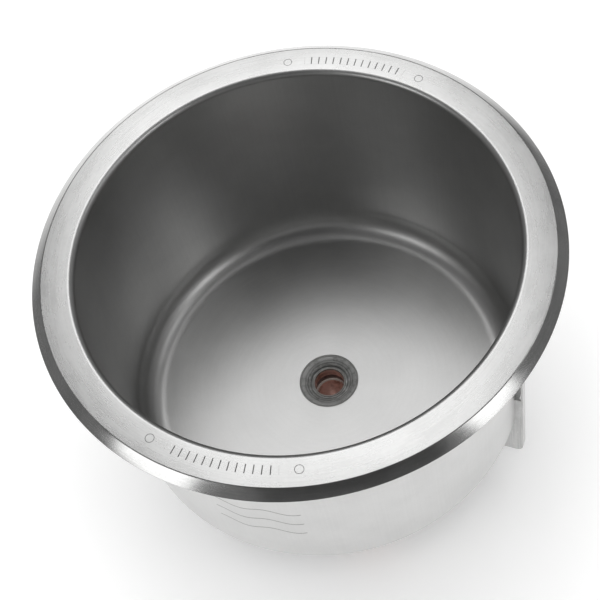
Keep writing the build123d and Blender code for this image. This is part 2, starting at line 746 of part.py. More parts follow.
with BuildPart() as terminal_screws:
    with BuildSketch(Plane.XY.offset(block_bottom_z + block_height - way_depth)):
        with Locations((0, block_y)):
            with Locations(*way_spots):
                Circle(terminal_screw_radius)
    extrude(amount=terminal_screw_height)
    with BuildSketch(Plane.XY.offset(block_bottom_z + block_height - way_depth + terminal_screw_height)):
        with Locations((0, block_y)):
            with Locations(*way_spots):
                Rectangle(0.6, 3 * terminal_screw_radius)
    extrude(amount=-0.8, mode=Mode.SUBTRACT)
save(terminal_screws, "terminal_screws")

block_nut_flats = 5.5         # M3
block_nut_thick = 2.4
with BuildPart() as block_screws:
    with BuildSketch(Plane.XY.offset(cover_bottom_z)):
        with Locations(*block_screw_spots):
            Circle(2 * block_screw_radius)
    extrude(amount=-1.8)
    fillet(block_screws.edges().group_by(Axis.Z)[0], 0.8)
    with BuildSketch(Plane.XY.offset(cover_bottom_z)):
        with Locations(*block_screw_spots):
            Circle(block_screw_radius)
    extrude(amount=cover_sheet + block_height + block_nut_thick + 1.1)
save(block_screws, "block_screws")

with BuildPart() as block_nuts:
    with BuildSketch(Plane.XY.offset(block_bottom_z + block_height)):
        with Locations(*block_screw_spots):
            RegularPolygon(block_nut_flats / 2, 6, major_radius=False)
            Circle(block_screw_radius + thread_clearance, mode=Mode.SUBTRACT)
    extrude(amount=block_nut_thick)
save(block_nuts, "block_nuts")

with BuildPart() as earth_stud:
    with BuildSketch(Plane.XY.offset(block_bottom_z)):
        with Locations(earth_spot):
            Circle(earth_stud_radius)
    extrude(amount=earth_stud_length)
    chamfer(earth_stud.edges().group_by(Axis.Z)[-1], 0.4)
save(earth_stud, "earth_stud")

with BuildPart() as earth_nut:
    with BuildSketch(Plane.XY.offset(block_bottom_z)):
        with Locations(earth_spot):
            RegularPolygon(small_nut_flats / 2, 6, major_radius=False)
            Circle(earth_stud_radius + thread_clearance, mode=Mode.SUBTRACT)
    extrude(amount=cover_nut_thick)
save(earth_nut, "earth_nut")


# ---------------------------------------------------------------- wires inside the housing

wire_radius = 1.1
wire_bend = 1.8
blade_end_z = plate_z - thermostat_height - thermostat_blade_length
pin_end_z = element_z - element_leg_length - element_pin_length
way_top_z = block_bottom_z + block_height - way_depth + terminal_screw_height
wire_z = block_bottom_z + block_height + 3.6     # level at which wires cross the terminal block
blade_inner = thermostat_ring_radius - blade_offset
blade_outer = thermostat_ring_radius + blade_offset
limit_in = polar(blade_inner, limit_azimuth)
limit_out = polar(blade_outer, limit_azimuth)
control_in = polar(blade_inner, control_azimuth)
control_out = polar(blade_outer, control_azimuth)
pin_left, pin_right = element_end_spots
way_reach = way_pitch * (block_ways - 1) / 2
way_front = block_y - way_row / 2
way_back = block_y + way_row / 2
link_z = wire_z + 7.0         # over the other wires
link_x = block_width / 2 + 9.0
link_y = block_y - 29.0
heater_z = wire_z + 4.0

wires = {
    "wire_line": [
        (*limit_in, blade_end_z), (*limit_in, wire_z + 2), (-block_width / 2 - 5, way_back, wire_z),
        (-way_reach, way_back, wire_z), (-way_reach, way_back, way_top_z),
    ],
    "wire_link": [
        (*limit_out, blade_end_z), (*limit_out, link_z), (-link_x, link_y, link_z),
        (link_x, link_y, link_z), (*control_out, link_z), (*control_out, blade_end_z),
    ],
    "wire_heater": [
        (*control_in, blade_end_z), (*control_in, heater_z), (*pin_right, heater_z), (*pin_right, pin_end_z),
    ],
    "wire_neutral": [
        (*pin_left, pin_end_z), (*pin_left, wire_z + 2), (-way_reach, way_front, wire_z),
        (-way_reach, way_front, way_top_z),
    ],
    "wire_earth": [
        (earth_spot[0] - earth_stud_radius - wire_radius, earth_spot[1], block_bottom_z + 5.5),
        (block_width / 2 + 17, block_y - 9, block_bottom_z + 9), (block_width / 2 + 7, block_y - 7, wire_z),
        (way_reach, way_front, wire_z),
        (way_reach, way_front, way_top_z),
    ],
}
for name, points in wires.items():
    with BuildPart() as wire:
        with BuildLine() as route:
            FilletPolyline(*points, radius=wire_bend)
        with BuildSketch(Plane(origin=route.wire() @ 0, z_dir=route.wire() % 0)):
            Circle(wire_radius)
        sweep(path=route.wire())
    save(wire, name)


# ---------------------------------------------------------------- brackets and hold-downs

park = radians(90 + arm_park_angle)
arm_end = (pivot_radius + arm_length * cos(park), pivot_across + arm_length * sin(park))
arm_middle = (pivot_radius + arm_length / 2 * cos(park), pivot_across + arm_length / 2 * sin(park))
lug_radius = arm_width / 2 + 0.4
rivet_neck_radius = pivot_shoulder_radius - 1.0
rivet_head_thick = 1.6
arm_z = bracket_top + washer_thick
arm_top_z = arm_z + arm_thick
pad_z = arm_top_z + clamp_pad_gap
boss_z = arm_top_z - boss_length
screw_head_top_z = boss_z - clamp_travel - 3.0
screw_head_flats = 10.0
screw_head_thick = 4.0
screw_nose_radius = 2.2
screw_nose_length = 2.2
flange_inner = bracket_outer_radius - bracket_sheet
web_inner = wall_radius_bottom - 8.0          # in the well's own shape, which is cut away
tab_face = cover_radius + 0.1
tab_nut_face = cover_radius - cover_sheet - 0.15


def side_bracket(azimuth):
    """Folded sheet: web, outer flange with a lug on top, foot on the wall, tab on the housing."""
    flat = level_plane(azimuth)
    with BuildPart() as bracket:
        # The web runs down the wall, under the well's corner and in to the housing.
        with BuildSketch(radial_plane(azimuth)):
            with BuildLine():
                Polyline(
                    (web_inner, bracket_top), (bracket_outer_radius, bracket_top),
                    (bracket_outer_radius, bracket_bottom), (cover_radius + part_gap, bracket_bottom),
                    (cover_radius + part_gap, tab_top), (cover_flange_radius + 3, tab_top),
                    (cover_flange_radius + 3, under_z + 10), (web_inner, under_z + 10),
                    close=True,
                )
            make_face()
            with Locations((flange_inner, window_bottom)):
                Rectangle(flange_inner - web_inner, window_top - window_bottom, align=(Align.MAX, Align.MIN),
                          mode=Mode.SUBTRACT)
        extrude(amount=bracket_sheet / 2, both=True)
        # The outer flange is folded back along the web's outer edge.
        with BuildSketch(flat.offset(bracket_bottom + bracket_corner)):
            with Locations((flange_inner, -bracket_sheet / 2)):
                Rectangle(bracket_sheet, bracket_flange_width + bracket_sheet / 2,
                          align=(Align.MIN, Align.MIN))
        extrude(amount=bracket_top - bracket_bottom - bracket_corner)
        # The lug on top carries the hold-down arm.
        with BuildSketch(flat.offset(bracket_top)):
            with Locations((flange_inner, -bracket_sheet / 2)):
                Rectangle(pivot_radius - flange_inner, lug_width + bracket_sheet / 2,
                          align=(Align.MIN, Align.MIN))
            with Locations((pivot_radius, pivot_across)):
                Circle(lug_radius)
                Circle(rivet_neck_radius + hole_clearance, mode=Mode.SUBTRACT)
        extrude(amount=-bracket_sheet)
        # Feet lie flat on the wall above and below the window.
        for low, high in ((window_top, bracket_top), (window_bottom - foot_height, window_bottom)):
            with BuildSketch(flat.offset(low)):
                with Locations((web_inner, -bracket_sheet / 2)):
                    Rectangle(wall_radius_outer_top + bracket_sheet - web_inner, foot_width,
                              align=(Align.MIN, Align.MIN))
            extrude(amount=high - low)
        # The tab is screwed to the housing.
        with BuildSketch(level_plane(azimuth + tab_turn).offset(bracket_bottom)):
            with Locations((tab_face, 0)):
                Rectangle(bracket_sheet, tab_width + bracket_sheet, align=(Align.MIN, Align.CENTER))
        extrude(amount=tab_height)
        with BuildSketch(outward_plane(azimuth + tab_turn, cover_radius - 5, tab_screw_z)):
            Circle(tab_screw_radius + hole_clearance)
        extrude(amount=10, mode=Mode.SUBTRACT)
        # The well's own outer shape is cut away, so that web and feet lie against it.
        with BuildSketch(Plane.XZ):
            with BuildLine():
                FilletPolyline(
                    (0, rim_z), (wall_radius_outer_top, rim_z),
                    (wall_radius_outer_bottom, under_z), (0, under_z), radius=[1.0, floor_bend + sheet],
                )
                Line((0, under_z), (0, rim_z))
            make_face()
        revolve(axis=Axis.Z, mode=Mode.SUBTRACT)
        # Rounded lower corner
        with BuildSketch(radial_plane(azimuth)):
            with Locations((bracket_outer_radius, bracket_bottom)):
                Rectangle(bracket_corner, bracket_corner, align=(Align.MAX, Align.MIN))
            with Locations((bracket_outer_radius - bracket_corner, bracket_bottom + bracket_corner)):
                Circle(bracket_corner, mode=Mode.SUBTRACT)
        extrude(amount=bracket_sheet, both=True, mode=Mode.SUBTRACT)
    return bracket


def pivot_rivet(azimuth):
    """Shoulder rivet: head over the arm, shoulder in the arm, neck peened under the lug."""
    spot = (pivot_radius, pivot_across)
    flat = level_plane(azimuth)
    lug_under_z = bracket_top - bracket_sheet
    head_z = arm_top_z + 0.1
    with BuildPart() as rivet:
        for low, high, radius in (
            (lug_under_z - 1.2, lug_under_z, rivet_neck_radius + 1.0),
            (lug_under_z, bracket_top, rivet_neck_radius),
            (bracket_top, head_z, pivot_shoulder_radius),
            (head_z, head_z + rivet_head_thick, pivot_shoulder_radius + 1.6),
        ):
            with BuildSketch(flat.offset(low)):
                with Locations(spot):
                    Circle(radius)
            extrude(amount=high - low)
        fillet(rivet.edges().group_by(Axis.Z)[-1], 1.0)
    return rivet


def pivot_washer(azimuth):
    with BuildPart() as washer:
        with BuildSketch(level_plane(azimuth).offset(bracket_top)):
            with Locations((pivot_radius, pivot_across)):
                Circle(lug_radius - 0.4)
                Circle(pivot_shoulder_radius + thread_clearance, mode=Mode.SUBTRACT)
        extrude(amount=washer_thick - 0.1)
    return washer


def clamp_arm(azimuth):
    """Flat bar that swings out under the counter, with a tapped boss at its end."""
    with BuildPart() as arm:
        with BuildSketch(level_plane(azimuth).offset(arm_z)):
            with Locations(arm_middle):
                SlotCenterToCenter(arm_length, arm_width, rotation=90 + arm_park_angle)
            with Locations((pivot_radius, pivot_across)):
                Circle(pivot_shoulder_radius + running_clearance, mode=Mode.SUBTRACT)
        extrude(amount=arm_thick)
        with BuildSketch(level_plane(azimuth).offset(boss_z)):
            with Locations(arm_end):
                Circle(arm_width / 2 - 0.6)
        extrude(amount=boss_length)
        with BuildSketch(level_plane(azimuth).offset(boss_z)):
            with Locations(arm_end):
                Circle(clamp_screw_radius + running_clearance)
        extrude(amount=boss_length, mode=Mode.SUBTRACT)
    return arm


def clamp_screw(azimuth):
    """Hex-head screw standing upwards, its turned nose in the pad. The thread is rings of true depth."""
    spot = level_plane(azimuth).from_local_coords((*arm_end, 0))
    thread_depth = 0.6 * clamp_screw_pitch
    thread_top = pad_z - 0.8
    thread_length = thread_top - screw_head_top_z - 2.0
    turns = int(thread_length / clamp_screw_pitch)
    root = clamp_screw_radius - thread_depth
    zigzag = []
    for turn in range(turns):
        low = thread_top - (turns - turn) * clamp_screw_pitch
        zigzag += [(root, low), (root, low + 0.12 * clamp_screw_pitch),
                   (clamp_screw_radius, low + 0.45 * clamp_screw_pitch),
                   (clamp_screw_radius, low + 0.6 * clamp_screw_pitch)]
    with BuildPart() as screw:
        with BuildSketch(Plane(origin=(spot.X, spot.Y, 0), x_dir=(1, 0, 0), z_dir=(0, -1, 0))):
            with BuildLine():
                Polyline((0, screw_head_top_z), (clamp_screw_radius, screw_head_top_z),
                         (clamp_screw_radius, thread_top - turns * clamp_screw_pitch - 0.4), *zigzag,
                         (root, thread_top), (screw_nose_radius, thread_top),
                         (screw_nose_radius, pad_z + screw_nose_length), (0, pad_z + screw_nose_length),
                         close=True)
            make_face()
        revolve(axis=Axis((spot.X, spot.Y, 0), (0, 0, 1)))
        with BuildSketch(level_plane(azimuth).offset(screw_head_top_z)):
            with Locations(arm_end):
                RegularPolygon(screw_head_flats / 2, 6, major_radius=False)
        extrude(amount=-screw_head_thick)
    return screw


def clamp_pad(azimuth):
    """Cup that bears on the counter's underside and doesn't turn with the screw."""
    with BuildPart() as pad:
        with BuildSketch(level_plane(azimuth).offset(pad_z)):
            with Locations(arm_end):
                Circle(clamp_pad_radius)
        extrude(amount=clamp_pad_thick)
        fillet(pad.edges().group_by(Axis.Z)[-1], 0.6)
        with BuildSketch(level_plane(azimuth).offset(pad_z)):
            with Locations(arm_end):
                Circle(screw_nose_radius + running_clearance)
        extrude(amount=screw_nose_length + 0.1, mode=Mode.SUBTRACT)
    return pad


for side, azimuth in bracket_azimuths.items():
    save(side_bracket(azimuth), f"side_bracket_{side}")
    save(pivot_rivet(azimuth), f"pivot_rivet_{side}")
    save(pivot_washer(azimuth), f"pivot_washer_{side}")
    save(clamp_arm(azimuth), f"clamp_arm_{side}")
    save(clamp_screw(azimuth), f"clamp_screw_{side}")
    save(clamp_pad(azimuth), f"clamp_pad_{side}")

# Screws through the bracket tabs, and the nuts inside the housing that they run in
with BuildPart() as tab_screws:
    for azimuth in bracket_azimuths.values():
        with BuildSketch(outward_plane(azimuth + tab_turn, tab_face + bracket_sheet, tab_screw_z)):
            Circle(1.9 * tab_screw_radius)
        extrude(amount=2.4, taper=12)
        with BuildSketch(outward_plane(azimuth + tab_turn, tab_face + bracket_sheet, tab_screw_z)):
            Circle(tab_screw_radius)
        extrude(amount=-8.0)
save(tab_screws, "tab_screws")

with BuildPart() as tab_nuts:
    for azimuth in bracket_azimuths.values():
        with BuildSketch(outward_plane(azimuth + tab_turn, tab_nut_face, tab_screw_z)):
            RegularPolygon(small_nut_flats / 2, 6, major_radius=False)
            Circle(tab_screw_radius + thread_clearance, mode=Mode.SUBTRACT)
        extrude(amount=-cover_nut_thick)
save(tab_nuts, "tab_nuts")
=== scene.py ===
import bpy
from math import atan2, cos, pi, radians, sin
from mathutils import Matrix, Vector


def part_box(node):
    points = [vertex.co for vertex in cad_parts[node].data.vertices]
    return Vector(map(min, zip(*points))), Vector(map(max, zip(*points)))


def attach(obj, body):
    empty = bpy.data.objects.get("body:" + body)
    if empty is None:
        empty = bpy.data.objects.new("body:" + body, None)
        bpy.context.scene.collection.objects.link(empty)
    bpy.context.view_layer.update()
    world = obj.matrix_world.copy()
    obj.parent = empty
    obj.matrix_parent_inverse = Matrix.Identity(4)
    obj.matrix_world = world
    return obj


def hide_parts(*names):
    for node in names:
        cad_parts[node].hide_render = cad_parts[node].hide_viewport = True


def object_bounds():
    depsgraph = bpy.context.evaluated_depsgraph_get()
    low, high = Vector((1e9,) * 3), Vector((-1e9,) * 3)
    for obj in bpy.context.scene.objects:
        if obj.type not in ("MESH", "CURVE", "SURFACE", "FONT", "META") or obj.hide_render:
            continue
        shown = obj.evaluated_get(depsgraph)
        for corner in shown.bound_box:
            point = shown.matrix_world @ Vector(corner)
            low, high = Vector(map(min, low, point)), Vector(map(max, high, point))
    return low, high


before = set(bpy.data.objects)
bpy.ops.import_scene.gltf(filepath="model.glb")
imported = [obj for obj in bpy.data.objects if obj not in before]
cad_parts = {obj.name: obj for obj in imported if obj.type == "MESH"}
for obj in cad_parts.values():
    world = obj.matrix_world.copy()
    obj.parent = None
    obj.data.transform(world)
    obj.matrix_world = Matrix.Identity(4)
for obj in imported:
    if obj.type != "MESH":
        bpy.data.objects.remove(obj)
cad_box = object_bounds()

# Drop-in soup kettle well: a drawn stainless well with a drain, a heater housing below it and
# two swing-out hold-downs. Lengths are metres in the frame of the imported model.
MM = 0.001


# ------------------------------------------------------------------ camera, lights and floor
# A pale floor under a wide overhead fill, one large softbox behind the well and three smaller ones
# at its sides. A dark card hangs over the camera, and puts the dark stripe on the near part of the
# lip.

bpy.ops.object.camera_add(location=(0, -0.4411, 0.6419),
                          rotation=(radians(31.493), radians(8.245), radians(-12.612)))
camera = bpy.context.object
camera.name = "camera"
camera.data.lens = 80.82
camera.data.sensor_width = 36
camera.data.dof.use_dof = False
camera.data.clip_start = 0.01
bpy.context.scene.camera = camera
bpy.context.scene.view_settings.view_transform = "Standard"

world = bpy.data.worlds.new("studio")
bpy.context.scene.world = world
world.use_nodes = True
world.node_tree.nodes["Background"].inputs["Color"].default_value = (1, 1, 1, 1)
world.node_tree.nodes["Background"].inputs["Strength"].default_value = 0.16
well_middle = Vector((0, 0, -0.07))


def towards(azimuth, elevation):
    """Unit vector that points from the well to a place in the studio."""
    return Vector((cos(radians(elevation)) * cos(radians(azimuth)),
                   cos(radians(elevation)) * sin(radians(azimuth)), sin(radians(elevation))))


def softbox(name, azimuth, elevation, distance, width, height, brightness):
    """Area light of a given surface brightness, aimed at the middle of the well."""
    way = towards(azimuth, elevation)
    bpy.ops.object.light_add(type="AREA", location=well_middle + way * distance)
    lamp = bpy.context.object
    lamp.name = name
    lamp.rotation_euler = way.to_track_quat("Z", "Y").to_euler()
    lamp.data.shape = "RECTANGLE"
    lamp.data.size = width
    lamp.data.size_y = height
    lamp.data.energy = brightness * pi * width * height
    return lamp


softbox("softbox_back", 89, 61, 1.5, 0.66, 1.15, 1.4)
softbox("softbox_left", -158, 35, 1.5, 0.60, 0.50, 1.6)
softbox("softbox_right", -37, 40, 1.5, 0.44, 0.50, 1.6)
softbox("softbox_high_right", 4, 51, 1.5, 0.45, 0.40, 0.9)
overhead_fill = softbox("overhead_fill", 0, 90, 2.0, 2.4, 2.4, 2.6)
overhead_fill.visible_glossy = False

bpy.ops.mesh.primitive_plane_add(size=12, location=(0, 0, cad_box[0][2] - 0.5 * MM))
floor = bpy.context.object
floor.name = "studio_floor"
floor_finish = bpy.data.materials.new("studio_floor")
floor_finish.use_nodes = True
floor_shader = floor_finish.node_tree.nodes["Principled BSDF"]
floor_shader.inputs["Base Color"].default_value = (0.9, 0.9, 0.9, 1)
floor_shader.inputs["Roughness"].default_value = 0.9
floor_shader.inputs["Specular IOR Level"].default_value = 0.1
floor_shader.inputs["Emission Color"].default_value = (1, 1, 1, 1)
floor_shader.inputs["Emission Strength"].default_value = 0.25
floor.data.materials.append(floor_finish)

card_way = towards(-90, 56)
bpy.ops.mesh.primitive_plane_add(size=1, location=well_middle + card_way * 1.3,
                                 rotation=card_way.to_track_quat("Z", "Y").to_euler())
card = bpy.context.object
card.name = "dark_card"
card.scale = (1.25, 0.85, 1)
card_finish = bpy.data.materials.new("dark_card")
card_finish.use_nodes = True
card_finish.node_tree.nodes["Principled BSDF"].inputs["Base Color"].default_value = (0.03, 0.03, 0.03, 1)
card.data.materials.append(card_finish)
card.visible_camera = False
card.visible_diffuse = False
card.visible_shadow = False


# ------------------------------------------------------------------ the drawn well
# One sheet of 1.2 mm stainless steel, deep drawn, with its rim pressed flat and the lip turned
# down. The rim is polished in circles, the rest is left satin from the drawing press.

class Value:
    """A shader socket that Python arithmetic builds Math nodes on."""

    def __init__(self, finish, socket):
        self.finish, self.socket = finish, socket

    def math(self, operation, *others):
        return self.finish.add("ShaderNodeMath", {"operation": operation}, dict(enumerate((self, *others))))

    def __add__(self, other):
        return self.math("ADD", other)

    def __mul__(self, other):
        return self.math("MULTIPLY", other)

    def __sub__(self, other):
        return self.math("SUBTRACT", other)

    def __rsub__(self, other):
        return self.math("MULTIPLY_ADD", -1, other)

    def __truediv__(self, other):
        return self.math("DIVIDE", other)

    def __lt__(self, other):
        return self.math("LESS_THAN", other)

    def __gt__(self, other):
        return self.math("GREATER_THAN", other)

    def __abs__(self):
        return self.math("ABSOLUTE")

    __radd__, __rmul__ = __add__, __mul__


class Finish:
    """A material: its principled shader, object coordinates and the maps that are built on them."""

    def __init__(self, name, **sockets):
        self.material = bpy.data.materials.new(name)
        self.material.use_nodes = True
        self.tree = self.material.node_tree
        self.shader = self.tree.nodes["Principled BSDF"]
        for key, value in sockets.items():
            self.shader.inputs[key.replace("_", " ")].default_value = value
        self.place = self.add("ShaderNodeTexCoord", output="Object")
        self.x, self.y, self.z = (self.add("ShaderNodeSeparateXYZ", {}, {0: self.place}, i) for i in range(3))

    def add(self, kind, settings=None, sockets=None, output=0):
        """Adds any node: settings first, then the value or the link of each socket."""
        made = self.tree.nodes.new(kind)
        for key, value in (settings or {}).items():
            setattr(made, key, value)
        for key, value in (sockets or {}).items():
            if isinstance(value, Value):
                self.tree.links.new(value.socket, made.inputs[key])
            else:
                made.inputs[key].default_value = value
        return Value(self, made.outputs[output])

    def at(self, x, y, z):
        return self.add("ShaderNodeCombineXYZ", {}, {0: x, 1: y, 2: z})

    def noise(self, place, scale, detail=3.0, roughness=0.55):
        return self.add("ShaderNodeTexNoise", {}, {"Vector": place, "Scale": scale, "Detail": detail,
                                                   "Roughness": roughness})

    def reach(self):
        """Distance from the well's axis."""
        return (self.x * self.x + self.y * self.y).math("SQRT")

    def tool_lines(self, along, per_metre):
        """Fine lines left by a cutting or spinning tool, across the given distance."""
        return self.add("ShaderNodeTexNoise", {"noise_dimensions": "1D"},
                        {"W": along * per_metre, "Detail": 3.0})

    def fade(self, value, low, high, to_low=0.0, to_high=1.0):
        return self.add("ShaderNodeMapRange", {"interpolation_type": "SMOOTHSTEP"},
                        {0: value, 1: low, 2: high, 3: to_low, 4: to_high})

    def blend(self, share, first, second):
        first, second = (c if isinstance(c, Value) else (*c, 1) for c in (first, second))
        return self.add("ShaderNodeMix", {"data_type": "RGBA"}, {0: share, 6: first, 7: second}, 2)

    def relief(self, height, depth, strength=1.0):
        return self.add("ShaderNodeBump", {}, {"Height": height, "Distance": depth, "Strength": strength})

    def wear(self, *maps):
        """Feeds colour, roughness, normal and metallic maps to the shader, in that order."""
        for key, value in zip(("Base Color", "Roughness", "Normal", "Metallic"), maps):
            self.tree.links.new(value.socket, self.shader.inputs[key])
        return self.material


def rounded(corners, steps):
    """Outline of a turned piece. A corner is its radius and height, and its bend where it has one."""
    outline = []
    for i, (r, z, *bend) in enumerate(corners):
        here = Vector((r, z))
        if not bend:
            outline.append(here)
            continue
        before, after = ((Vector(corners[j % len(corners)][:2]) - here).normalized() for j in (i - 1, i + 1))
        half = before.angle(after) / 2
        middle = here + (before + after).normalized() * bend[0] / sin(half)
        first = here + before * bend[0] * cos(half) / sin(half) - middle
        turn = first.angle_signed(here + after * bend[0] * cos(half) / sin(half) - middle)
        for k in range(steps + 1):
            swing = -turn * k / steps
            outline.append(middle + Vector((first.x * cos(swing) - first.y * sin(swing),
                                            first.x * sin(swing) + first.y * cos(swing))))
    return outline


def turned(name, corners, segments, steps=4):
    """Drawn, spun or turned piece: the outline is extruded point by point and spun round its axis."""
    outline = rounded(corners, steps)
    bpy.ops.object.select_all(action="DESELECT")
    bpy.ops.mesh.primitive_plane_add(size=MM, location=(outline[0].x, 0, outline[0].y))
    piece = bpy.context.object
    piece.name = name
    bpy.ops.object.transform_apply(location=True, rotation=True, scale=True)
    bpy.ops.object.mode_set(mode="EDIT")
    bpy.ops.mesh.select_all(action="SELECT")
    bpy.ops.mesh.merge(type="CENTER")
    for here, there in zip(outline, outline[1:] + outline[:1]):
        bpy.ops.mesh.extrude_vertices_move(
            TRANSFORM_OT_translate={"value": (there.x - here.x, 0, there.y - here.y)})
    bpy.ops.mesh.select_all(action="SELECT")
    bpy.ops.mesh.remove_doubles(threshold=1e-6)
    bpy.ops.mesh.spin(steps=segments, angle=2 * pi, center=(0, 0, 0), axis=(0, 0, 1))
    bpy.ops.mesh.select_all(action="SELECT")
    bpy.ops.mesh.remove_doubles(threshold=1e-6)
    bpy.ops.mesh.normals_make_consistent(inside=False)
    bpy.ops.object.mode_set(mode="OBJECT")
    bpy.ops.object.shade_smooth_by_angle(angle=radians(35))
    return piece


def fit(piece, material, body, slot, *stands_for):
    """Puts a finished piece on the object: material, body and the nodes it stands for. The slot argument is
    not used.
    """
    piece.data.materials.append(material)
    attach(piece, body)
    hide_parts(*stands_for)


def coat(material, *names):
    """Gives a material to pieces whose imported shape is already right."""
    for name in names:
        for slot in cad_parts[name].material_slots:
            slot.material = material


sheet, edge = 1.2 * MM, 0.3 * MM
rim_radius, lip_reach, lip_drop, lip_bend = 156 * MM, 6.3 * MM, 4.4 * MM, 1.6 * MM
wall_top, wall_bottom, rim_bend, floor_bend = 129.8 * MM, 128.3 * MM, 4.0 * MM, 17.0 * MM
recess_radius, recess_depth, drain_hole = 19.7 * MM, 3.2 * MM, 16.25 * MM
well_depth = 165 * MM
rim_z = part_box("well_pan")[1].z
floor_z = rim_z - well_depth
lip_slope = atan2(lip_drop, lip_reach)
slant = sheet * (1 - cos(lip_slope)) / sin(lip_slope)
kettle_well = turned("kettle_well", [
    (rim_radius, rim_z - lip_drop, edge),
    (rim_radius - lip_reach, rim_z, lip_bend),
    (wall_top, rim_z, rim_bend),
    (wall_bottom, floor_z, floor_bend),
    (recess_radius + 0.1 * MM, floor_z, 0.35 * MM),
    (recess_radius, floor_z - recess_depth, 0.6 * MM),
    (drain_hole, floor_z - recess_depth),
    (drain_hole, floor_z - recess_depth - sheet),
    (recess_radius + sheet, floor_z - recess_depth - sheet, 1.4 * MM),
    (recess_radius + 2 * sheet, floor_z - sheet, 0.4 * MM),
    (wall_bottom + sheet, floor_z - sheet, floor_bend + sheet),
    (wall_top + sheet, rim_z - sheet, rim_bend - sheet),
    (rim_radius - lip_reach - slant, rim_z - sheet, lip_bend - sheet),
    (rim_radius - sheet * sin(lip_slope), rim_z - lip_drop - sheet * cos(lip_slope), edge),
], segments=256, steps=12)


mark_azimuth, mark_radius = -118.7, 139.6 * MM      # middle of the row of bars on the rim
row_half_angle, bar_step, bar_half_angle, bar_half_length = 13.2, 0.95, 0.13, 2.7 * MM
ring_angle, ring_radius, ring_half_line = 17.6, 2.5 * MM, 0.17 * MM
wave_azimuth, wave_z, wave_radius = -118, -92 * MM, 128.5 * MM
wave_half_angle, wave_half_height, wave_degrees, wave_rise = 12, 22 * MM, 14, 2.2 * MM
wave_gap, wave_half_line = 14 * MM, 0.36 * MM


def drawn_steel(name, dark, light, rough, grain, marked, **sockets):
    """Stainless steel of the well: soft clouds, scattered specks, and lines from polishing or drawing."""
    steel = Finish(name, Metallic=1.0, **sockets)
    radius = steel.reach()
    around = steel.x / radius, steel.y / radius
    degrees_round = steel.y.math("ARCTAN2", steel.x) * (180 / pi)
    clouds = steel.noise(steel.place, 16.0, 4.0)
    specks = steel.noise(steel.place, 650.0, 2.0)
    if marked == "rim":
        # Polishing rings, with patches where the wheel bit harder, and etched marks front and back:
        # a row of plain bars with a small ring at each end. Angles are in degrees.
        lines = steel.noise(steel.at(radius * 1300, around[0] * 1.5, around[1] * 1.5), 1.0, 3.0)
        patches = steel.noise(steel.at(radius * 160, around[0] * 7, around[1] * 7), 1.0, 3.0)
        arc = (degrees_round - mark_azimuth).math("WRAP", 90, -90)
        off = abs(radius - mark_radius)
        bar = ((abs(arc.math("WRAP", bar_step, -bar_step)) < bar_half_angle) * (off < bar_half_length)
               * (abs(arc) < row_half_angle))
        along = (abs(arc) - ring_angle) * (mark_radius * pi / 180)
        ring = abs((along * along + off * off).math("SQRT") - ring_radius) < ring_half_line
        etched = bar.math("MAXIMUM", ring)
    else:
        # Lines run down the wall and turn into rings on the floor. The front of the wall carries
        # three wavy lines.
        down = steel.noise(steel.at(around[0] * 110, around[1] * 110, steel.z * 5), 1.0, 4.0)
        rings = steel.noise(steel.at(radius * 420, around[0] * 2, around[1] * 2), 1.0, 3.0)
        low = steel.fade(steel.z, floor_z + 16 * MM, floor_z + 2 * MM)
        lines = low * rings + (1 - low) * down
        patches = steel.noise(steel.place, 48.0, 3.0)
        wave = steel.z + (degrees_round * (2 * pi / wave_degrees)).math("SINE") * wave_rise
        stroke = abs((wave - wave_z).math("WRAP", wave_gap / 2, -wave_gap / 2)) < wave_half_line
        etched = (stroke * (abs(degrees_round - wave_azimuth) < wave_half_angle)
                  * (abs(steel.z - wave_z) < wave_half_height) * (radius > wave_radius))
    shade = steel.fade(clouds * 0.35 + lines * 0.20 + patches * 0.35 + specks * 0.10, 0.36, 0.64)
    colour = steel.blend(etched * 0.85, steel.blend(shade, dark, light), (0.10, 0.10, 0.10))
    roughness = steel.fade(lines * 0.25 + patches * 0.75, 0.3, 0.7, rough - 0.01, rough + 0.02) + etched * 0.2
    return steel.wear(colour, roughness, steel.relief(lines - etched * 0.5, 0.00004, grain))


satin_steel = drawn_steel("satin_well", (0.62, 0.62, 0.615), (0.68, 0.68, 0.675), 0.34, 0.08, "wall")
rim_steel = drawn_steel("polished_rim", (0.64, 0.64, 0.635), (0.78, 0.78, 0.775), 0.27, 0.05, "rim",
                        Anisotropic=0.75, Anisotropic_Rotation=0.25)
lip_steel = drawn_steel("polished_lip", (0.58, 0.58, 0.575), (0.74, 0.74, 0.735), 0.17, 0.10, "rim")
fit(kettle_well, satin_steel, "root", "brushed_stainless", "well_pan")
kettle_well.data.materials.append(rim_steel)
kettle_well.data.materials.append(lip_steel)
polished_low, polished_inner = rim_z - 7 * MM, wall_top + 3 * MM
for face in kettle_well.data.polygons:
    reach = face.center.xy.length
    if face.center.z > polished_low and reach > polished_inner:
        face.material_index = 1 if reach < rim_radius - lip_reach - edge else 2


# ------------------------------------------------------------------ rim gasket
# A flat ring of closed-cell silicone, cut from sheet and stuck under the rim. It seals the rim
# to the counter.

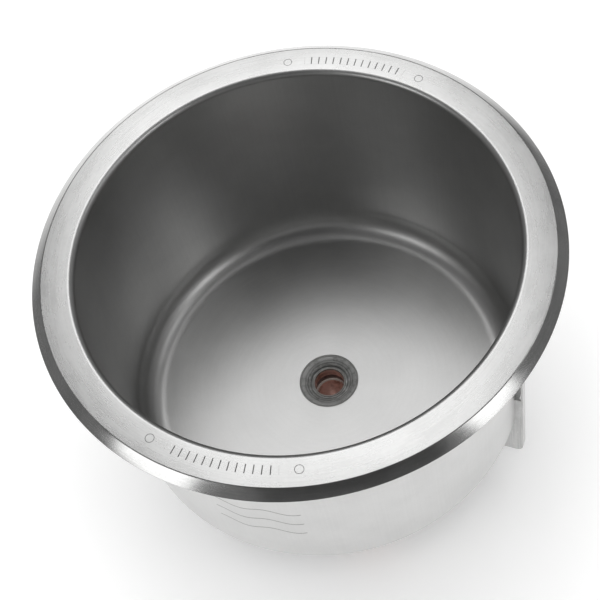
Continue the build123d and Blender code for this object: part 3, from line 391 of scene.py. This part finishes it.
gasket_low, gasket_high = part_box("rim_gasket")
gasket_outer, gasket_inner, cut_rounding = gasket_high.x, 137.0 * MM, 0.6 * MM
gasket_ring = turned("gasket_ring", [
    (gasket_outer, gasket_low.z, cut_rounding), (gasket_outer, gasket_high.z, cut_rounding / 2),
    (gasket_inner, gasket_high.z, cut_rounding / 2), (gasket_inner, gasket_low.z, cut_rounding),
], segments=160)
silicone = Finish("pale_silicone", Subsurface_Weight=0.05, Specular_IOR_Level=0.35)
cells = silicone.noise(silicone.place, 900.0, 2.0)
dust = silicone.noise(silicone.place, 45.0, 4.0)
pale_silicone = silicone.wear(
    silicone.blend(silicone.fade(dust, 0.4, 0.65), (0.66, 0.65, 0.61), (0.52, 0.51, 0.47)),
    silicone.fade(cells * 0.5 + dust * 0.5, 0.3, 0.7, 0.55, 0.78), silicone.relief(cells, 0.00012, 0.6))
fit(gasket_ring, pale_silicone, "root", "silicone", "rim_gasket")


# ------------------------------------------------------------------ drain
# A turned flange sits in the pressed recess on a seal, held from below by a washer and a locknut.
# A copper stub and a sweat elbow carry the water forwards to the outlet pipe.

neck_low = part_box("drain_flange")[0].z
head_radius, neck_radius, bore_radius, mouth_radius = 19.2 * MM, 16.0 * MM, 11.15 * MM, 12.3 * MM
counterbore_radius = 12.95 * MM
head_low, step_z, counterbore_z = floor_z - 2.2 * MM, floor_z - 2.8 * MM, floor_z - 5.2 * MM
drain_ring = turned("drain_ring", [
    (head_radius, floor_z - 0.25 * MM, 0.2 * MM), (head_radius, head_low, 0.15 * MM),
    (neck_radius, head_low), (neck_radius, neck_low, 0.4 * MM),
    (counterbore_radius, neck_low), (counterbore_radius, counterbore_z),
    (bore_radius, counterbore_z), (bore_radius, step_z),
    (mouth_radius, step_z), (mouth_radius, floor_z - 2.0 * MM, 0.25 * MM),
    (13.2 * MM, floor_z - 1.45 * MM, 0.4 * MM), (14.2 * MM, floor_z - 1.6 * MM, 0.3 * MM),
    (14.6 * MM, floor_z - 1.05 * MM, 0.3 * MM), (15.3 * MM, floor_z - 0.75 * MM, 0.3 * MM),
    (15.7 * MM, floor_z - 1.0 * MM, 0.2 * MM), (16.4 * MM, floor_z - 0.45 * MM, 0.5 * MM),
    (18.4 * MM, floor_z - 0.1 * MM, 0.5 * MM),
], segments=128)
dull = Finish("dull_drain_steel", Metallic=0.75)
tool_rings = dull.tool_lines(dull.reach(), 5200)
scale_spots = dull.noise(dull.place, 260.0, 5.0, 0.65)
# Painted shade: the dish round the bore is darkened in colour, on top of random dark scale spots.
painted_dish_shade = dull.fade(dull.reach(), 15.0 * MM, 13.6 * MM)
scale_spots_and_dish_shade = dull.fade(scale_spots + painted_dish_shade * 0.15, 0.42, 0.72)
drain_steel = dull.wear(
    dull.blend(scale_spots_and_dish_shade, (0.30, 0.30, 0.295), (0.17, 0.17, 0.165)),
    dull.fade(tool_rings * 0.4 + scale_spots * 0.6, 0.3, 0.7, 0.34, 0.56),
    dull.relief(tool_rings * 0.5 + scale_spots * 0.5, 0.00006, 0.7))
fit(drain_ring, drain_steel, "root", "dull_stainless", "drain_flange")

stub_low, stub_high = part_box("drain_stub")
stub_bore = 9.95 * MM
copper_stub = turned("copper_stub", [
    (stub_high.x, stub_low.z, 0.2 * MM), (stub_high.x, stub_high.z, 0.35 * MM),
    (stub_bore, stub_high.z, 0.5 * MM), (stub_bore, stub_low.z, 0.3 * MM),
], segments=96)
shoulder_z, shoulder_half = floor_z - 17.9 * MM, 0.42 * MM
tube = Finish("aged_copper", Metallic=0.7)
tube_oxide = tube.noise(tube.place, 110.0, 5.0, 0.65)
tube_draw = tube.noise(tube.at(tube.x * 500, tube.y * 120, tube.z * 900), 1.0, 4.0)
fresh = tube.fade(tube_oxide, 0.64, 0.46)
in_bore = tube.reach() < bore_radius + 0.1 * MM
# Painted highlight: a thin near-white ring in the bore at the elbow's shoulder, where its lip catches the
# light.
painted_shoulder_highlight = in_bore * (abs(tube.z - shoulder_z) < shoulder_half) * tube.fade(tube_oxide, 0.62, 0.50)
# Painted shade: the bore from the shoulder up to just above the stub's lower end is darkened almost to black.
painted_bore_shade = in_bore * (tube.z > shoulder_z + shoulder_half) * (tube.z < stub_low.z + 1.6 * MM) * 0.85
tinned = tube.fade(tube.z, stub_high.z - 1.3 * MM, stub_high.z - 0.9 * MM)
copper = tube.blend(fresh, (0.46, 0.27, 0.21), (0.90, 0.63, 0.56))
for share, colour in ((tinned, (0.20, 0.19, 0.18)), (painted_bore_shade, (0.06, 0.04, 0.04)),
                      (painted_shoulder_highlight, (1.0, 0.92, 0.86))):
    copper = tube.blend(share, copper, colour)
aged_copper = tube.wear(
    copper, tube.fade(tube_oxide * 0.6 + tube_draw * 0.4, 0.3, 0.7, 0.24, 0.50),
    tube.relief(tube_draw * 0.6 + tube_oxide * 0.4, 0.00025, 0.7))
fit(copper_stub, aged_copper, "root", "copper", "drain_stub")
coat(aged_copper, "drain_elbow", "outlet_tube")

seal_low, seal_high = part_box("drain_seal")
squeezed_lip, lip_rounding = floor_z - 0.35 * MM, 0.1 * MM
lip_outer, lip_inner, seal_inner = recess_radius - 0.02 * MM, head_radius + 0.03 * MM, neck_radius + 0.05 * MM
drain_seal_ring = turned("drain_seal_ring", [
    (lip_outer, seal_low.z + 0.05 * MM), (lip_outer, squeezed_lip, lip_rounding),
    (lip_inner, squeezed_lip, lip_rounding), (lip_inner, seal_high.z),
    (seal_inner, seal_high.z), (seal_inner, seal_low.z), (seal_high.x - 0.3 * MM, seal_low.z),
], segments=128)
grey_silicone = Finish("grey_silicone", Specular_IOR_Level=0.35)
cured = grey_silicone.noise(grey_silicone.place, 240.0, 3.0)
fit(drain_seal_ring, grey_silicone.wear(
    grey_silicone.blend(cured, (0.17, 0.17, 0.165), (0.25, 0.25, 0.24)),
    grey_silicone.fade(cured, 0.3, 0.7, 0.50, 0.66), grey_silicone.relief(cured, 0.0001)),
    "root", "silicone", "drain_seal")
coat(pale_silicone, "outlet_grommet", "cover_gasket")


def turned_brass(name):
    """Free-cutting brass: bright cut faces with fine tool lines and brown tarnish in the hollows."""
    brass = Finish(name, Metallic=1.0)
    tarnish = brass.noise(brass.place, 85.0, 5.0, 0.6)
    cuts = brass.noise(brass.at(brass.x * 300, brass.y * 300, brass.z * 3200), 1.0, 2.0)
    return brass.wear(
        brass.blend(brass.fade(tarnish, 0.46, 0.66), (0.74, 0.57, 0.27), (0.42, 0.29, 0.12)),
        brass.fade(tarnish * 0.6 + cuts * 0.4, 0.3, 0.7, 0.20, 0.42), brass.relief(cuts, 0.00004, 0.6))


def zinc_plate(name):
    """Bright zinc on steel: a faint blue and straw bloom, and dull rubbed places."""
    zinc = Finish(name, Metallic=1.0)
    bloom = zinc.noise(zinc.place, 60.0, 3.0)
    rubbed = zinc.noise(zinc.place, 420.0, 4.0, 0.65)
    tint = zinc.blend(zinc.fade(bloom, 0.38, 0.62), (0.62, 0.65, 0.70), (0.72, 0.70, 0.62))
    return zinc.wear(
        zinc.blend(zinc.fade(rubbed, 0.56, 0.70), tint, (0.44, 0.44, 0.44)),
        zinc.fade(rubbed, 0.35, 0.65, 0.20, 0.44), zinc.relief(rubbed, 0.00004, 0.5))


brass = turned_brass("turned_brass")
zinc = zinc_plate("bright_zinc")
coat(brass, "drain_locknut")
coat(zinc, "drain_washer")


# ------------------------------------------------------------------ heater under the floor
# A sheathed ring element is pressed against an aluminium spreader plate by a clamp ring on four
# welded studs, with a pad of ceramic fibre below it.

plate = Finish("rolled_aluminium", Metallic=1.0)
rolling = plate.noise(plate.at(plate.x * 14, plate.y * 900, plate.z * 200), 1.0, 4.0)
heat_bloom = plate.noise(plate.place, 22.0, 4.0)
rolled_aluminium = plate.wear(
    plate.blend(plate.fade(heat_bloom, 0.42, 0.64), (0.74, 0.74, 0.75), (0.58, 0.55, 0.50)),
    plate.fade(rolling * 0.5 + heat_bloom * 0.5, 0.3, 0.7, 0.30, 0.48), plate.relief(rolling, 0.00005, 0.6))
coat(rolled_aluminium, "heater_plate")

sheath = Finish("oxidised_sheath", Metallic=1.0)
oxide = sheath.noise(sheath.place, 70.0, 5.0, 0.6)
flakes = sheath.noise(sheath.place, 900.0, 3.0)
pin_end_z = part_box("heating_element")[0].z
cold_end = sheath.fade(sheath.z, pin_end_z + 7.4 * MM, pin_end_z + 6.8 * MM)
burnt = sheath.blend(sheath.fade(oxide, 0.4, 0.66), (0.16, 0.145, 0.13), (0.30, 0.23, 0.17))
oxidised_sheath = sheath.wear(
    sheath.blend(cold_end, burnt, (0.60, 0.60, 0.59)),
    sheath.fade(flakes * 0.4 + oxide * 0.6, 0.3, 0.7, 0.42, 0.66), sheath.relief(flakes, 0.00008, 0.7))
coat(oxidised_sheath, "heating_element")

wool = Finish("ceramic_fibre", Roughness=0.95, Specular_IOR_Level=0.15)
fibres = wool.noise(wool.at(wool.x * 1400, wool.y * 420, wool.z * 1400), 1.0, 5.0, 0.7)
tufts = wool.noise(wool.place, 130.0, 5.0, 0.65)
ceramic_fibre = wool.wear(
    wool.blend(wool.fade(tufts, 0.38, 0.66), (0.86, 0.84, 0.78), (0.68, 0.65, 0.57)),
    wool.fade(tufts, 0.3, 0.7, 0.86, 0.98), wool.relief(fibres * 0.5 + tufts * 0.5, 0.0007, 0.8))
coat(ceramic_fibre, "insulation_pad")
coat(zinc, "element_studs", "element_nuts")


# ------------------------------------------------------------------ thermostats and reset button
# Two snap-disc thermostats stand on the spreader plate. The limit one has a guide on its back, and
# the red button in the housing floor pushes it back in through a sprung stem.

cap_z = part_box("control_thermostat")[1].z - 0.85 * MM
blade_z = cap_z - 10.2 * MM
phenolic = Finish("thermostat_case", Specular_IOR_Level=0.4)
metal_part = (phenolic.z > cap_z).math("MAXIMUM", phenolic.z < blade_z)
filler = phenolic.noise(phenolic.place, 700.0, 3.0)
brown = phenolic.blend(filler, (0.055, 0.028, 0.016), (0.12, 0.07, 0.04))
thermostat_case = phenolic.wear(
    phenolic.blend(metal_part, brown, (0.66, 0.66, 0.64)),
    phenolic.fade(filler, 0.3, 0.7, 0.38, 0.52), phenolic.relief(filler, 0.00006, 0.5), metal_part)
coat(thermostat_case, "control_thermostat", "limit_thermostat")
coat(zinc, "thermostat_screws", "reset_spring")


def moulded(name, colour, rough, grain_depth, **sockets):
    """Moulded plastic or rubber: even colour, fine eroded mould texture, and rubbed glossier places."""
    plastic = Finish(name, **sockets)
    mould = plastic.noise(plastic.place, 1300.0, 2.0)
    handled = plastic.noise(plastic.place, 55.0, 3.0)
    lighter = tuple(min(1.0, c * 1.35 + 0.012) for c in colour)
    return plastic.wear(
        plastic.blend(plastic.fade(handled, 0.35, 0.7), colour, lighter),
        plastic.fade(handled * 0.6 + mould * 0.4, 0.3, 0.7, rough - 0.08, rough + 0.10),
        plastic.relief(mould, grain_depth, 0.6))


black_nylon = moulded("black_nylon", (0.020, 0.020, 0.021), 0.46, 0.00008)
coat(black_nylon, "reset_bushing")
coat(moulded("red_button", (0.50, 0.020, 0.016), 0.30, 0.00003, Coat_Weight=0.3, Coat_Roughness=0.15),
     "reset_button")


# ------------------------------------------------------------------ housing
# A spun cup of aluminised steel closes the heater in from below. It is held by four studs through
# its flange, and has vents in its floor and a grommet for the drain pipe.

cup = Finish("aluminised_steel", Metallic=1.0)
spangle = cup.add("ShaderNodeTexVoronoi", {}, {"Vector": cup.place, "Scale": 340.0}, 1)
spangle_tone = cup.add("ShaderNodeSeparateXYZ", {}, {0: spangle})
soot = cup.noise(cup.place, 30.0, 5.0)
spin_lines = cup.tool_lines(cup.reach() + cup.z, 1500)
coating = cup.blend(spangle_tone * 0.6 + spin_lines * 0.4, (0.55, 0.56, 0.57), (0.70, 0.71, 0.72))
aluminised_steel = cup.wear(
    cup.blend(cup.fade(soot, 0.45, 0.70), coating, (0.42, 0.40, 0.37)),
    cup.fade(spangle_tone * 0.4 + soot * 0.6, 0.2, 0.8, 0.30, 0.52), cup.relief(spin_lines, 0.00005, 0.5))
coat(aluminised_steel, "bottom_cover", "element_clamp")
coat(zinc, "cover_studs", "cover_nuts", "tab_screws", "tab_nuts")


# ------------------------------------------------------------------ cable entry and terminals
# The supply cable comes in through a nylon gland at the back, to a ceramic block that is screwed to
# the housing floor. Glass-braided wires run from it to the thermostats and the element.

coat(black_nylon, "cable_gland", "gland_cap", "gland_locknut")
coat(moulded("gland_rubber", (0.014, 0.014, 0.014), 0.68, 0.0001, Specular_IOR_Level=0.3), "gland_seal")

steatite = Finish("steatite", Specular_IOR_Level=0.4)
pits = steatite.noise(steatite.place, 1500.0, 2.0)
fired = steatite.noise(steatite.place, 90.0, 3.0)
cream = steatite.fade(fired * 0.7 + pits * 0.3, 0.4, 0.62)
fired_steatite = steatite.wear(
    steatite.blend(cream, (0.83, 0.80, 0.74), (0.70, 0.66, 0.58)),
    steatite.fade(pits, 0.3, 0.7, 0.48, 0.66), steatite.relief(pits, 0.0001, 0.7))
coat(fired_steatite, "terminal_block")
coat(zinc, "block_screws", "block_nuts")
coat(brass, "terminal_screws", "earth_stud", "earth_nut")


def glass_braid(name, colour, tracer):
    """Silicone-varnished glass braid: crossing yarns with a tracer colour, lighter on their crowns."""
    braid = Finish(name, Roughness=0.6)
    one_way, other_way = ((braid.x + braid.y + braid.z * way) * 5200 for way in (1, -1))
    crowns = (one_way.math("SINE") * other_way.math("SINE")) * 0.5 + 0.5
    varnish = braid.noise(braid.place, 160.0, 3.0)
    return braid.wear(
        braid.blend(crowns * 0.7, colour, tracer),
        braid.fade(varnish * 0.5 + crowns * 0.5, 0.2, 0.8, 0.42, 0.66), braid.relief(crowns, 0.00015, 0.8))


coat(glass_braid("red_braid", (0.36, 0.030, 0.022), (0.60, 0.10, 0.07)),
     "wire_line", "wire_link", "wire_heater")
coat(glass_braid("white_braid", (0.62, 0.61, 0.57), (0.84, 0.83, 0.79)), "wire_neutral")
coat(glass_braid("green_braid", (0.06, 0.25, 0.07), (0.62, 0.56, 0.08)), "wire_earth")


# ------------------------------------------------------------------ brackets and hold-downs
# Folded stainless brackets are spot-welded to the wall and screwed to the housing. Each carries an
# arm on a shoulder rivet that swings out under the counter, and a screw that presses a pad up.

fold = Finish("folded_stainless", Metallic=1.0)
mill_lines = fold.noise(fold.at(fold.x * 1100, fold.y * 1100, fold.z * 26), 1.0, 4.0, 0.6)
handling = fold.noise(fold.place, 48.0, 5.0, 0.6)
scuffs = fold.fade(fold.noise(fold.at(fold.x * 700, fold.y * 90, fold.z * 300), 1.0, 3.0), 0.62, 0.72)
mill_tone = fold.fade(mill_lines * 0.5 + handling * 0.5, 0.36, 0.64)
mill_finish = fold.blend(mill_tone, (0.50, 0.50, 0.495), (0.66, 0.66, 0.655))
folded_stainless = fold.wear(
    fold.blend(scuffs * 0.5, mill_finish, (0.78, 0.78, 0.77)),
    fold.fade(mill_lines * 0.4 + handling * 0.6, 0.3, 0.7, 0.26, 0.42), fold.relief(mill_lines, 0.00005, 0.5))
coat(folded_stainless, "side_bracket_left", "side_bracket_right", "clamp_arm_left", "clamp_arm_right")
coat(zinc, "pivot_rivet_left", "pivot_rivet_right", "pivot_washer_left", "pivot_washer_right",
     "clamp_screw_left", "clamp_screw_right")
coat(black_nylon, "clamp_pad_left", "clamp_pad_right")
